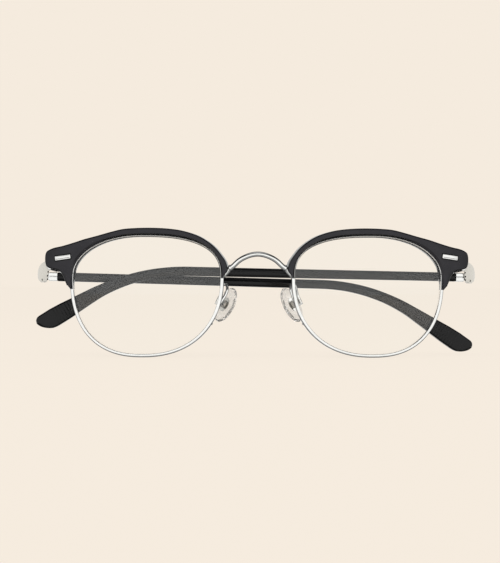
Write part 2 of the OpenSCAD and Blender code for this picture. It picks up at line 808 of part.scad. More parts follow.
// Core: a wire inside the temple that stiffens it and holds the joint
core_short = 12;
core_sides = 6;
module core_body(side, extra) {
    stops = concat(
        [joint_l - 2 * extra, temple_straight / 2],
        [for (i = [0 : 6]) temple_straight + i / 6 * ear_l],
        [one_of(temple_ls, side) - core_short + extra]
    );
    r = core_d / 2 + extra;
    loft([for (l = stops) temple_ring(l, r, r, 2 * r, core_sides)]);
}
module temple_core(side) {
    color(satin)
        at_temple(side)
            core_body(side, 0);
}

// Joint: the metal end of the temple with the middle knuckle
neck = 1.9;
leaf_h = temple_h - 0.1;
module temple_joint(side) {
    color(steel)
        at_temple(side)
            difference() {
                union() {
                    cylinder(r = knuckle_r, h = knuckle_h, center = true, $fn = 48);
                    translate([0, -knuckle_r, -knuckle_h / 2])
                        cube([neck + eps, 2 * knuckle_r, knuckle_h]);
                    translate([neck, -knuckle_r, -leaf_h / 2])
                        cube([joint_l - neck, 2 * knuckle_r, leaf_h]);
                }
                cylinder(r = pin_r + fit, h = 2 * knuckle_h, center = true, $fn = 32);
            }
}

eyewire(right);  // right_eyewire
eyewire(left);  // left_eyewire
lens(right);  // right_lens
lens(left);  // left_lens
brow(right);  // right_brow
brow(left);  // left_brow
plaque(right);  // right_plaque
plaque(left);  // left_plaque
brow_bracket(right);  // right_brow_bracket
brow_bracket(left);  // left_brow_bracket
brow_screws();
rim_lock(right);  // right_rim_lock
rim_lock(left);  // left_rim_lock
rim_lock_screws();
bridge();
endpiece(right);  // right_endpiece
endpiece(left);  // left_endpiece
hinge_screw(right);  // right_hinge_screw
hinge_screw(left);  // left_hinge_screw
pad_arm(right);  // right_pad_arm
pad_arm(left);  // left_pad_arm
pad_box(right);  // right_pad_box
pad_box(left);  // left_pad_box
pad_screws();
pad_core(right);  // right_pad_core
pad_core(left);  // left_pad_core
nose_pad(right);  // right_nose_pad
nose_pad(left);  // left_nose_pad
temple_joint(right);  // right_temple_joint
temple_joint(left);  // left_temple_joint
temple_core(right);  // right_temple_core
temple_core(left);  // left_temple_core
temple(right);  // right_temple
temple(left);  // left_temple
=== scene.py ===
# %% [markdown]
# # Browline glasses, folded on a table
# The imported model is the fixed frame: its bodies, joints and sizes never move here. Each visible
# piece is then made again as a finer mesh in the same place, rides on its body, and gets a
# procedural finish. Everything is worked out in millimetres and scaled to metres at the end.

# %% Frame
import bmesh
import bpy
import math
from mathutils import Matrix, Vector


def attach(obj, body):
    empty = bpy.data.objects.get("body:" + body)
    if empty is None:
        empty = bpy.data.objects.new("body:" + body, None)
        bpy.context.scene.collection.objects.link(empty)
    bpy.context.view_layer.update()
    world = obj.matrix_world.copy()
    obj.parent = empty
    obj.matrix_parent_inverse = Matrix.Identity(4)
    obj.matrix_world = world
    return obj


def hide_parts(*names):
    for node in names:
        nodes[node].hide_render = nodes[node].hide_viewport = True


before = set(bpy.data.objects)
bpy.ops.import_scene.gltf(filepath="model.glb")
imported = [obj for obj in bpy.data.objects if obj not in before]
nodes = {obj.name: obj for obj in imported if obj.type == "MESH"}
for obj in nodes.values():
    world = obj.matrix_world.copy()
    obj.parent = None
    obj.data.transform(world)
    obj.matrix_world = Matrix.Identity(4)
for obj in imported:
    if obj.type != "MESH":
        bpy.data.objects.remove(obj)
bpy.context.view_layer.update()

# %% [markdown]
# ## Camera
# The camera stands half a metre in front with a long lens, a little above the middle of the frame
# and a little to the left. A long lens keeps both rims almost equal in size. The small shift stands
# for the picture's crop, so that no perspective changes.

# %% Camera
PHOTO_W, PHOTO_H = 500, 563
FOCAL_PX = 1608.5
YAW = math.radians(1.17)
ROLL = math.radians(0.15)
FRONT_Y = -13.8
CAMERA_FAR = 500
CAMERA_Z = 23.7
CROP_PX = 7.7
MM = 0.001

camera_data = bpy.data.cameras.new("camera")
camera_data.sensor_width = 36
camera_data.lens = FOCAL_PX / max(PHOTO_W, PHOTO_H) * camera_data.sensor_width
camera_data.shift_x = -CROP_PX / max(PHOTO_W, PHOTO_H)
camera_data.clip_start, camera_data.clip_end = 0.01, 20
camera = bpy.data.objects.new("camera", camera_data)
bpy.context.scene.collection.objects.link(camera)
camera.location = MM * Vector((-CAMERA_FAR * math.sin(YAW), FRONT_Y - CAMERA_FAR * math.cos(YAW), CAMERA_Z))
camera.rotation_euler = (Matrix.Rotation(-YAW, 3, "Z") @ Matrix.Rotation(math.radians(90), 3, "X")
                         @ Matrix.Rotation(ROLL, 3, "Z")).to_euler()
bpy.context.scene.camera = camera
bpy.context.scene.view_settings.view_transform = "Standard"
print("focal length:", round(camera_data.lens, 2), "mm")

# %% [markdown]
# ## Node helpers
# A finish is a small network of shader nodes. A few short helpers keep each one readable: they add a
# node, link its sockets to other nodes, and set the sockets that hold a plain value directly.

# %% Node helpers
def feed(tree, socket, value):
    """Links a socket to another one, or sets it to a plain value."""
    if isinstance(value, bpy.types.NodeSocket):
        tree.links.new(value, socket)
    else:
        socket.default_value = value


def add_node(tree, kind, **inputs):
    node = tree.nodes.new(kind)
    for key, value in inputs.items():
        feed(tree, node.inputs[key.replace("_", " ")], value)
    return node


def math_node(tree, operation, a, b=0.0):
    node = tree.nodes.new("ShaderNodeMath")
    node.operation = operation
    feed(tree, node.inputs[0], a)
    feed(tree, node.inputs[1], b)
    return node.outputs[0]


def remap(tree, value, low, high, to_low=0.0, to_high=1.0):
    node = tree.nodes.new("ShaderNodeMapRange")
    given = {"Value": value, "From Min": low, "From Max": high, "To Min": to_low, "To Max": to_high}
    for key, x in given.items():
        feed(tree, node.inputs[key], x)
    return node.outputs["Result"]


def mix_colour(tree, share, a, b):
    node = tree.nodes.new("ShaderNodeMix")
    node.data_type = "RGBA"
    feed(tree, node.inputs["Factor"], share)
    for socket, colour in ((node.inputs["A"], a), (node.inputs["B"], b)):
        feed(tree, socket, (*colour, 1) if isinstance(colour, tuple) else colour)
    return node.outputs["Result"]


def srgb(r, g, b):
    """A colour written as a screen shows it, 0 to 255, as the linear colour that a shader wants."""
    return tuple(((c / 255 + 0.055) / 1.055) ** 2.4 if c > 10 else c / 255 / 12.92 for c in (r, g, b))


# %% [markdown]
# ## Surroundings
# The picture has one flat beige behind and below the glasses. The world and the floor both show
# that colour to the camera, also through the lenses. The light itself is a plain pale sky with two
# soft lamps. Polished metal looks like what it reflects, and in a studio that is a white tent with
# a few dark gaps, so reflections see bands of light and dark by height. The floor keeps some of the
# real light, so the glasses still leave a faint shadow where they stand.

# %% World and floor
BEIGE = srgb(245, 235, 222)
SKY = (0.80, 0.79, 0.77)
TENT_WARMTH = 0.985
FLOOR_FLAT = 0.95
FLOOR_SIZE = 6
world = bpy.data.worlds.new("studio")
bpy.context.scene.world = world
world.use_nodes = True
tree = world.node_tree
tree.nodes.clear()
rays = add_node(tree, "ShaderNodeLightPath")
way = add_node(tree, "ShaderNodeTexCoord")
split = add_node(tree, "ShaderNodeSeparateXYZ", Vector=way.outputs["Generated"])
ahead = math_node(tree, "GREATER_THAN", split.outputs["Y"], 0.2)
shown = math_node(tree, "MAXIMUM", rays.outputs["Is Camera Ray"],
                  math_node(tree, "MULTIPLY", rays.outputs["Is Transmission Ray"], ahead))
tent = add_node(tree, "ShaderNodeValToRGB", Fac=remap(tree, split.outputs["Z"], -1.0, 1.0))
tent.color_ramp.interpolation = "EASE"
# Each band is a height, from 0 straight below to 1 straight above, and its brightness.
TENT_BANDS = [(0.0, 0.3), (0.13, 0.45), (0.2, 0.1), (0.25, 0.15), (0.31, 1.0), (0.7, 1.0), (0.74, 0.9),
              (0.79, 0.05), (0.93, 0.04), (0.97, 0.75), (1.0, 0.85)]
stops = tent.color_ramp.elements
for place, tone in TENT_BANDS[1:-1]:
    stops.new(place)
for stop, (place, tone) in zip(stops, TENT_BANDS):
    stop.position, stop.color = place, (tone, tone, tone * TENT_WARMTH, 1)
mirrored = math_node(tree, "MAXIMUM", rays.outputs["Is Glossy Ray"], rays.outputs["Is Transmission Ray"])
seen = mix_colour(tree, mirrored, SKY, tent.outputs["Color"])
light = add_node(tree, "ShaderNodeBackground", Color=mix_colour(tree, shown, seen, BEIGE), Strength=1.0)
add_node(tree, "ShaderNodeOutputWorld", Surface=light.outputs[0])

floor_finish = bpy.data.materials.new("floor_card")
floor_finish.use_nodes = True
tree = floor_finish.node_tree
tree.nodes.clear()
rays = add_node(tree, "ShaderNodeLightPath")
shown = math_node(tree, "MAXIMUM", rays.outputs["Is Camera Ray"], rays.outputs["Is Transmission Ray"])
card = add_node(tree, "ShaderNodeBsdfDiffuse", Color=(*BEIGE, 1))
flat = add_node(tree, "ShaderNodeEmission", Color=(*BEIGE, 1), Strength=1.0)
keep = add_node(tree, "ShaderNodeMixShader", Fac=math_node(tree, "MULTIPLY", shown, FLOOR_FLAT))
tree.links.new(card.outputs[0], keep.inputs[1])
tree.links.new(flat.outputs[0], keep.inputs[2])
add_node(tree, "ShaderNodeOutputMaterial", Surface=keep.outputs[0])

bm = bmesh.new()
bmesh.ops.create_grid(bm, x_segments=1, y_segments=1, size=FLOOR_SIZE)
floor_mesh = bpy.data.meshes.new("floor")
bm.to_mesh(floor_mesh)
bm.free()
floor = bpy.data.objects.new("floor", floor_mesh)
bpy.context.scene.collection.objects.link(floor)
floor_mesh.materials.append(floor_finish)
floor.visible_glossy = False


LAMP_SIZE = 0.5
LAMP_AIM = Vector((0, 0, 0.02))


def soft_lamp(name, place, power):
    data = bpy.data.lights.new(name, "AREA")
    data.shape = "DISK"
    data.size = LAMP_SIZE
    data.energy = power
    lamp = bpy.data.objects.new(name, data)
    bpy.context.scene.collection.objects.link(lamp)
    lamp.location = place
    lamp.visible_glossy = False
    lamp.rotation_euler = (LAMP_AIM - Vector(place)).to_track_quat("-Z", "Y").to_euler()


soft_lamp("key_lamp", (-0.35, -0.45, 0.75), 2.2)
soft_lamp("fill_lamp", (0.6, -0.3, 0.5), 1.2)
print("lamps:", [light.name for light in bpy.data.lights])

# %% [markdown]
# ## Shared effects
# Two effects come back in several finishes. Fine wear breaks up the shine of polished metal and
# plastic with faint smudges and hair-thin scratches. Grain gives drawn or ground metal its soft
# lines; on the temples its mask also draws lighter streaks in the colour, which are painted
# highlights. Each one is a node group that only hands out values and a normal.

# %% Shared effects
def start_group(name, inputs, outputs):
    group = bpy.data.node_groups.new(name, "ShaderNodeTree")
    for label, kind, value in inputs:
        socket = group.interface.new_socket(label, in_out="INPUT", socket_type=kind)
        socket.default_value = value
    for label, kind in outputs:
        group.interface.new_socket(label, in_out="OUTPUT", socket_type=kind)
    return group, group.nodes.new("NodeGroupInput"), group.nodes.new("NodeGroupOutput")


EFFECT_OUTPUTS = [("Roughness", "NodeSocketFloat"), ("Normal", "NodeSocketVector"),
                  ("Mask", "NodeSocketFloat")]

wear, given, out = start_group(
    "fine_wear",
    [("Scale", "NodeSocketFloat", 300.0), ("Smudges", "NodeSocketFloat", 0.05),
     ("Bump", "NodeSocketFloat", 0.05), ("Roughness", "NodeSocketFloat", 0.1)],
    EFFECT_OUTPUTS)
where = add_node(wear, "ShaderNodeTexCoord")
clouds = add_node(wear, "ShaderNodeTexNoise", Vector=where.outputs["Object"], Scale=given.outputs["Scale"],
                  Detail=4.0, Roughness=0.6)
stretch = add_node(wear, "ShaderNodeMapping", Vector=where.outputs["Object"], Scale=(1.0, 1.0, 9.0),
                   Rotation=(0.3, 0.7, 0.4))
hairs = add_node(wear, "ShaderNodeTexNoise", Vector=stretch.outputs[0],
                 Scale=math_node(wear, "MULTIPLY", given.outputs["Scale"], 4.0), Detail=2.0)
mask = remap(wear, clouds.outputs["Fac"], 0.35, 0.7)
lines = remap(wear, hairs.outputs["Fac"], 0.6, 0.75)
marks = math_node(wear, "ADD", mask, math_node(wear, "MULTIPLY", lines, 0.6))
extra = math_node(wear, "MULTIPLY", marks, given.outputs["Smudges"])
wear.links.new(math_node(wear, "ADD", given.outputs["Roughness"], extra), out.inputs["Roughness"])
wear.links.new(mask, out.inputs["Mask"])
height = math_node(wear, "ADD", clouds.outputs["Fac"], math_node(wear, "MULTIPLY", lines, 0.3))
ripple = add_node(wear, "ShaderNodeBump", Strength=given.outputs["Bump"], Distance=0.02 * MM, Height=height)
wear.links.new(ripple.outputs["Normal"], out.inputs["Normal"])

grain, given, out = start_group(
    "metal_grain",
    [("Scale", "NodeSocketFloat", 3000.0), ("Stretch", "NodeSocketVector", (1.0, 1.0, 8.0)),
     ("Roughness", "NodeSocketFloat", 0.3), ("Depth", "NodeSocketFloat", 0.1)],
    EFFECT_OUTPUTS)
where = add_node(grain, "ShaderNodeTexCoord")
pulled = add_node(grain, "ShaderNodeMapping", Vector=where.outputs["Object"], Scale=given.outputs["Stretch"])
fibres = add_node(grain, "ShaderNodeTexNoise", Vector=pulled.outputs[0], Scale=given.outputs["Scale"],
                  Detail=3.0)
grain.links.new(fibres.outputs["Fac"], out.inputs["Mask"])
uneven = remap(grain, fibres.outputs["Fac"], 0.3, 0.7, -0.05, 0.08)
grain.links.new(math_node(grain, "ADD", given.outputs["Roughness"], uneven), out.inputs["Roughness"])
ridges = add_node(grain, "ShaderNodeBump", Strength=given.outputs["Depth"], Distance=0.03 * MM,
                  Height=fibres.outputs["Fac"])
grain.links.new(ridges.outputs["Normal"], out.inputs["Normal"])
print("groups:", [g.name for g in bpy.data.node_groups])


# %% [markdown]
# ## Finishes
# Black acetate is a dense plastic, polished on the brows and with a faint lengthwise grain on the
# temples, whose lighter streaks in the colour are painted highlights. The wires are plated and
# polished, the end pieces have a satin skin, and screws are plain steel. Grooves, recesses and gaps
# get darker finishes, which are painted shade. The lenses and the pads are clear, the pads slightly
# milky. Surfaces that turn away from the eye are painted a darker tone, a painted shade that draws
# the thin dark outline that polished wires and rounded edges show in a bright studio.

# %% Finishes
def finish_of(name, effect, values, **settings):
    """A Principled finish whose roughness and normal come from a shared effect."""
    material = bpy.data.materials.new(name)
    material.use_nodes = True
    tree = material.node_tree
    shader = tree.nodes["Principled BSDF"]
    for key, value in settings.items():
        shader.inputs[key.replace("_", " ")].default_value = value
    group = tree.nodes.new("ShaderNodeGroup")
    group.node_tree = effect
    for key, value in values.items():
        group.inputs[key].default_value = value
    tree.links.new(group.outputs["Roughness"], shader.inputs["Roughness"])
    tree.links.new(group.outputs["Normal"], shader.inputs["Normal"])
    return material, tree, shader, group


def tint(tree, shader, group, low, high):
    """The base colour drifts between two close tones with the effect's mask."""
    tree.links.new(mix_colour(tree, group.outputs["Mask"], low, high), shader.inputs["Base Color"])


def shade_edges(tree, shader, group, turn, faces, edge):
    """Faces drift between two tones; surfaces that turn away from the eye sink towards the edge tone, which
    is painted shade.
    """
    facing = add_node(tree, "ShaderNodeLayerWeight", Blend=0.5)
    face = mix_colour(tree, group.outputs["Mask"], *faces)
    share = remap(tree, facing.outputs["Facing"], *turn)
    tree.links.new(mix_colour(tree, share, face, edge), shader.inputs["Base Color"])


acetate, tree, shader, group = finish_of(
    "polished_acetate", wear, {"Scale": 260.0, "Smudges": 0.06, "Bump": 0.02, "Roughness": 0.12}, IOR=1.48,
    Specular_IOR_Level=0.2)
# The edge tone is painted shade, a dark outline along the brows' rounded edges.
shade_edges(tree, shader, group, (0.07, 0.32), (srgb(42, 42, 47), srgb(48, 48, 53)), srgb(3, 3, 5))

dull_acetate, tree, shader, group = finish_of(
    "temple_acetate", grain,
    {"Scale": 900.0, "Stretch": (0.03, 1.0, 1.0), "Roughness": 0.14, "Depth": 0.02}, IOR=1.48,
    Specular_IOR_Level=0.3)
# The lighter face tone draws lengthwise streaks that are painted highlights; the edge tone is painted shade.
shade_edges(tree, shader, group, (0.04, 0.4), (srgb(2, 2, 3), srgb(22, 22, 24)), srgb(3, 3, 4))

silver, tree, shader, group = finish_of(
    "polished_silver", wear, {"Scale": 900.0, "Smudges": 0.06, "Bump": 0.05, "Roughness": 0.06}, Metallic=1.0)
# The edge tone is painted shade, a dark outline along the wires and bars.
shade_edges(tree, shader, group, (0.1, 0.5), (srgb(252, 252, 250), srgb(244, 244, 242)), srgb(60, 60, 62))

satin, tree, shader, group = finish_of(
    "satin_silver", grain, {"Scale": 2500.0, "Roughness": 0.34, "Depth": 0.12}, Metallic=1.0)
tint(tree, shader, group, srgb(226, 222, 214), srgb(212, 208, 200))

steel, tree, shader, group = finish_of(
    "screw_steel", grain,
    {"Scale": 4000.0, "Stretch": (8.0, 8.0, 1.0), "Roughness": 0.26, "Depth": 0.1}, Metallic=1.0)
tint(tree, shader, group, srgb(205, 203, 198), srgb(190, 188, 184))

# Painted shade: a darker metal for the plaque's step and the ring at the screw end, standing for the shade
# that falls there.
painted_shade_metal, tree, shader, group = finish_of(
    "shaded_groove", grain, {"Scale": 4000.0, "Roughness": 0.5, "Depth": 0.1}, Metallic=1.0)
tint(tree, shader, group, srgb(120, 118, 114), srgb(92, 90, 88))

# Painted shade: a near-black finish for the thin sheet round each plaque and the small shapes between the
# hinge knuckles, where shade falls in the gaps.
recess_shade, tree, shader, group = finish_of(
    "painted_recess_shade", wear, {"Scale": 300.0, "Smudges": 0.1, "Bump": 0.02, "Roughness": 0.7},
    Specular_IOR_Level=0.1)
tint(tree, shader, group, srgb(4, 4, 5), srgb(8, 8, 9))

core_metal, tree, shader, group = finish_of(
    "pad_core_metal", grain, {"Scale": 4000.0, "Roughness": 0.2, "Depth": 0.1}, Metallic=1.0)
# The edge tone is painted shade, which draws dark rings on the pressed plate.
shade_edges(tree, shader, group, (0.3, 0.8), (srgb(226, 225, 221), srgb(208, 206, 201)), srgb(60, 59, 58))

glass, tree, shader, group = finish_of(
    "lens_glass", wear, {"Scale": 120.0, "Smudges": 0.0, "Bump": 0.0, "Roughness": 0.0},
    Transmission_Weight=1.0, IOR=1.5, Base_Color=(0.99, 0.995, 0.99, 1))

clear, tree, shader, group = finish_of(
    "pad_plastic", wear, {"Scale": 500.0, "Smudges": 0.08, "Bump": 0.08, "Roughness": 0.1},
    Transmission_Weight=0.85, IOR=1.46, Base_Color=(0.97, 0.98, 0.99, 1))
print("finishes:", [m.name for m in bpy.data.materials])

# %% [markdown]
# ## Shape of the lens
# Everything on the front follows the lens. Its outline is four quarters of superellipses that meet
# where the outline is widest and tallest, and the whole front bends back on one base curve. These
# few functions give a point on that curve, and the direction that leads out of the lens.

# %% Shape of the lens
LENS_W, LENS_H, LENS_GAP, LENS_T = 47.4, 37.8, 22.5, 1.4
BASE_R = 125
WRAP = math.radians(6.5)
TEMPORAL_W, UPPER_H = LENS_W * 0.469, LENS_H * 0.348
NASAL_W, LOWER_H = LENS_W - TEMPORAL_W, LENS_H - UPPER_H
CROSS = Vector(((NASAL_W - TEMPORAL_W) / 2, (LOWER_H - UPPER_H) / 2))
WIRE_BACK, WIRE_LIP, WIRE_DEPTH = 0.5, 0.5, 1.9
EYE = Vector((LENS_GAP / 2 + LENS_W / 2 * math.cos(WRAP), 0.45, WIRE_BACK + LENS_H / 2))
SIDES = {"right": -1, "left": 1}


def quarter(t):
    """Half width, half height and fullness of the quarter that holds angle t, in degrees."""
    return [(TEMPORAL_W, UPPER_H, 2.07), (NASAL_W, UPPER_H, 2.6),
            (NASAL_W, LOWER_H, 2.26), (TEMPORAL_W, LOWER_H, 2.38)][int(t % 360 // 90)]


def lens_radius(t):
    w, h, n = quarter(t)
    c, s = abs(math.cos(math.radians(t))), abs(math.sin(math.radians(t)))
    return ((c / w) ** n + (s / h) ** n) ** (-1 / n)


def around(t, r):
    return CROSS + r * Vector((math.cos(math.radians(t)), math.sin(math.radians(t))))


def lens_edge(t):
    return around(t, lens_radius(t))


def outwards(t):
    d = (lens_edge(t + 0.5) - lens_edge(t - 0.5)).normalized()
    return Vector((d.y, -d.x))


def at_eye(side, p, depth):
    """A point of the front, in mm: p is across and up from the lens centre, depth is behind its face."""
    back = BASE_R - math.sqrt(BASE_R ** 2 - p.x ** 2 - p.y ** 2) + depth
    x = EYE.x + p.x * math.cos(WRAP) - back * math.sin(WRAP)
    y = EYE.y + p.x * math.sin(WRAP) + back * math.cos(WRAP)
    return Vector((side * x, FRONT_Y + y, EYE.z + p.y))


print("lens centre:", [round(x, 2) for x in EYE])

# %% [markdown]
# ## Skins and pieces
# Rims, brows, wires and temples are all one section carried along a path. A grid of quads is the
# natural start: its rows become the stations of the path and its columns run round the section.
# The seam is then merged and the ends are closed. A second helper turns a finished mesh into a
# piece that rides on its body.

# %% Skins and pieces
MERGE = 1e-5


def skin(rings):
    """A closed skin over rings of points, with both of its ends filled."""
    n = len(rings[0])
    bm = bmesh.new()
    bm.loops.layers.uv.new("UVMap")
    made = bmesh.ops.create_grid(bm, x_segments=n, y_segments=len(rings) - 1, size=0.5, calc_uvs=True)
    for k, v in enumerate(made["verts"]):
        v.co = rings[k // (n + 1)][k % (n + 1) % n]
    bmesh.ops.remove_doubles(bm, verts=bm.verts, dist=MERGE)
    bmesh.ops.holes_fill(bm, edges=bm.edges, sides=0)
    return bm


def piece(name, bm, body, finish, stands_for=None, sharp=40):
    """Turns a mesh in millimetres into an object in metres that rides on a body.

    Faces are shaded smooth, except across edges that turn by more than the angle sharp. A piece
    that stands for a node of the frame replaces it."""
    bmesh.ops.recalc_face_normals(bm, faces=bm.faces)
    bmesh.ops.scale(bm, vec=(MM, MM, MM), verts=bm.verts)
    limit = math.radians(sharp)
    for face in bm.faces:
        face.smooth = True
    for edge in bm.edges:
        edge.smooth = len(edge.link_faces) == 2 and edge.calc_face_angle() < limit
    mesh = bpy.data.meshes.new(name)
    bm.to_mesh(mesh)
    bm.free()
    mesh.materials.append(finish)
    obj = bpy.data.objects.new(name, mesh)
    bpy.context.scene.collection.objects.link(obj)
    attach(obj, body)
    if stands_for:
        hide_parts(stands_for)
    return obj


def arc(a, b, corner, n=4):
    """Points of a rounded corner from a to b, each a pair."""
    points = []
    for i in range(n + 1):
        k = i / n * math.pi / 2
        to_a, to_b = 1 - math.sin(k), 1 - math.cos(k)
        points.append(tuple(c - to_a * (c - u) - to_b * (c - v) for c, u, v in zip(corner, a, b)))
    return points


# %% [markdown]
# ## Eyewires
# An eyewire is a drawn channel of metal that grips the lens, split at the temple so that the lens
# can be put in. It is one small section with a groove, carried round the outline of the lens. A
# section is a list of pairs: how far out from the lens edge, and how deep behind its middle.

# %% Eyewires
SPLIT, SPLIT_GAP = 2.7, 0.6
RIM_STATIONS = 220
GROOVE_HALF, GROOVE_BED = 0.74, 0.05
RIM_ROUND, RIM_ROUND_DEPTH, RIM_CORNER = 0.22, 0.2, 0.3
half = WIRE_DEPTH / 2
rim_section = [(-WIRE_LIP, -GROOVE_HALF)]
rim_section += arc((-WIRE_LIP, RIM_ROUND_DEPTH - half), (RIM_ROUND - WIRE_LIP, -half), (-WIRE_LIP, -half))
rim_section += arc((WIRE_BACK - RIM_CORNER, -half), (WIRE_BACK, RIM_CORNER - half), (WIRE_BACK, -half))
rim_section += arc((WIRE_BACK, half - RIM_CORNER), (WIRE_BACK - RIM_CORNER, half), (WIRE_BACK, half))
rim_section += [(-WIRE_LIP, half), (-WIRE_LIP, GROOVE_HALF), (GROOVE_BED, 0)]
for name, side in SIDES.items():
    rings = []
    for i in range(RIM_STATIONS + 1):
        t = SPLIT + SPLIT_GAP / 2 + i * (360 - SPLIT_GAP) / RIM_STATIONS
        e, m = lens_edge(t), outwards(t)
        rings.append([at_eye(side, e + s * m, d) for s, d in rim_section])
    piece(f"{name}_rim", skin(rings), "front", silver, f"{name}_eyewire")
print("rim section:", len(rim_section), "points")

# %% [markdown]
# ## Lenses
# A lens is a shell between two curves with a bevelled edge that stands in the groove. Rings that
# shrink towards the centre make its two faces, and a small disc closes each middle.

# %% Lenses
LENS_STATIONS = 180
BEVEL_IN = 0.56


def lens_ring(side, share, inset, depth):
    ring = []
    for i in range(LENS_STATIONS):
        t = i * 360 / LENS_STATIONS
        ring.append(at_eye(side, share * (lens_edge(t) - inset * outwards(t)), depth))
    return ring


for name, side in SIDES.items():
    shares = [0.02, 0.15, 0.3, 0.45, 0.6, 0.75, 0.88, 0.97]
    rings = [lens_ring(side, k, 0, -LENS_T / 2) for k in shares]
    rings += [lens_ring(side, 1, BEVEL_IN, -LENS_T / 2), lens_ring(side, 1, 0, 0),
              lens_ring(side, 1, BEVEL_IN, LENS_T / 2)]
    rings += [lens_ring(side, k, 0, LENS_T / 2) for k in reversed(shares)]
    piece(f"{name}_clear_lens", skin(rings), "front", glass, f"{name}_lens", sharp=25)
print("lens faces have", 2 * len(shares), "rings")

# %% [markdown]
# ## Curves and wires
# Brows, bridge, pad arms and temples follow smooth curves through a few chosen points. A wire is a
# circle carried along such a curve without twisting.

# %% Curves and wires
def smooth(t):
    k = min(max(t, 0), 1)
    return k * k * (3 - 2 * k)


def spline(points, k):
    """A smooth curve through points, with k steps from each point to the next."""
    last, curve = len(points) - 1, []
    for i in range(last):
        a, b, c, d = (points[min(max(i + j, 0), last)] for j in (-1, 0, 1, 2))
        for j in range(k):
            t = j / k
            curve.append(0.5 * (2 * b + (c - a) * t + (2 * a - 5 * b + 4 * c - d) * t * t
                                + (3 * b - a - 3 * c + d) * t ** 3))
    return curve + [points[last]]


def wire(path, radii, start, sides=20):
    rings, across = [], Vector(start)
    for i, p in enumerate(path):
        along = (path[min(i + 1, len(path) - 1)] - path[max(i - 1, 0)]).normalized()
        across = (across - across.dot(along) * along).normalized()
        up = along.cross(across)
        turns = [2 * math.pi * j / sides for j in range(sides)]
        rings.append([p + radii[i] * (math.cos(a) * across + math.sin(a) * up) for a in turns])
    return skin(rings)


# %% [markdown]
# ## Brows
# A brow is a moulded bar of acetate. Its outer edge is given as the margin that it keeps round the
# lens; its inner edge follows the lens, hides the eyewire in front and stands behind it as a dark
# wall. The lower tip is cut on a slant, as on the real frame, and every corner is rounded.

# %% Brows
# Each pair is an angle round the lens, in degrees, and the margin outside it there.
BROW_EDGE = [(177.5, 1.4), (175, 1.85), (170, 1.75), (165, 1.4), (158.5, 1.5), (151, 1.85), (143, 2.25),
             (132, 2.4), (121, 2.3), (108, 2.15), (95, 2.05), (82, 2), (68, 2.1), (54, 2.05), (42, 2.4),
             (33, 3.45), (25.8, 4.9), (20.6, 6.9), (17.5, 8.95), (15, 10.2), (13.2, 10.4), (10.6, 10),
             (8, 9.4), (6, 8.7), (5, 7.65), (4.6, 5.85), (4.1, 4.6), (2.6, 3.5), (0, 2.6), (-3, 2.15),
             (-5.2, 1.75), (-6.8, 1.5)]
BROW_STEPS = 5
BROW_FRONT, BROW_REAR, BROW_REAR_END, BROW_ROUND = 1.9, 3.2, 1.2, 0.5
REAR_FROM, REAR_SPAN = 0.42 * LENS_W, 11
LIP_FRONT, LIP_REAR, LIP_REAR_SIDE = 0.34, 0.86, 0.06
WIRE_ROOM = 0.05
SLOPE, SLOPE_SHARE = 0.8, 0.28
NOSE_CUT, NOSE_CUT_FROM, NOSE_CUT_SPAN = 3.5, 165, 12
LEG_CUT, LEG_CUT_FROM, LEG_CUT_SPAN = 3.3, -1.5, 5.3


def brow_rear(p):
    """Depth of the brow's back, which comes forward towards the hinge."""
    return BROW_REAR - (BROW_REAR - BROW_REAR_END) * smooth((p.x - REAR_FROM) / REAR_SPAN)


def brow_edge():
    return spline([around(t, lens_radius(t) + margin) for t, margin in BROW_EDGE], BROW_STEPS)


def edge_inwards(edge, i):
    along = (edge[min(i + 1, len(edge) - 1)] - edge[max(i - 1, 0)]).normalized()
    return Vector((along.y, -along.x))


def brow_ring(side, edge, i):
    """One section of the brow, from point i of its outer edge in to the lens."""
    o, inwards = edge[i], edge_inwards(edge, i)
    d = o - CROSS
    t = math.degrees(math.atan2(d.y, d.x))
    nose_cut = NOSE_CUT * smooth((t - NOSE_CUT_FROM) / NOSE_CUT_SPAN)
    k = t + nose_cut - LEG_CUT * smooth((LEG_CUT_FROM - t) / LEG_CUT_SPAN)
    e, m = lens_edge(k), outwards(k)
    width = d.length - lens_radius(t)
    r, slope = min(BROW_ROUND, 0.3 * width), min(SLOPE, SLOPE_SHARE * width)
    back, side_in = brow_rear(o), brow_rear(e)
    lip = (LIP_REAR + LIP_REAR_SIDE * math.cos(math.radians(t)) ** 2) * (1 - 0.55 * smooth((-1 - t) / 4))
    g, w = WIRE_BACK + WIRE_ROOM, WIRE_DEPTH / 2 + WIRE_ROOM
    front = [(0, 0.06 + w), (0.08, 0.12 + w), (slope, BROW_FRONT - 0.05), (slope + 0.12, BROW_FRONT)]
    section = [(e + (out - LIP_FRONT) * m, -depth) for out, depth in front]
    section += arc((o + r * inwards, -BROW_FRONT), (o, r - BROW_FRONT), (o, -BROW_FRONT))
    section += arc((o, back - r), (o + r * inwards, back), (o, back))
    section += arc((e - (lip - r) * m, side_in), (e - lip * m, side_in - r), (e - lip * m, side_in), 3)
    section += [(e - lip * m, w), (e + g * m, w), (e + g * m, -w), (e - LIP_FRONT * m, -w)]
    return [at_eye(side, p, depth) for p, depth in section]


for name, side in SIDES.items():
    edge = brow_edge()
    rings = [brow_ring(side, edge, i) for i in range(len(edge))]
    piece(f"{name}_brow_bar", skin(rings), "front", acetate, f"{name}_brow", sharp=32)
print("brow sections:", len(rings))

# %% [markdown]
# ## Plaques
# A bright bar is let into each brow's corner. Its front is a low arch with a fine step along the
# lower third, whose darker metal is painted shade. A thin dark sheet on the brow's face paints the
# shade of the gap that shows all round the bar, where the pocket is a little wider than the bar.

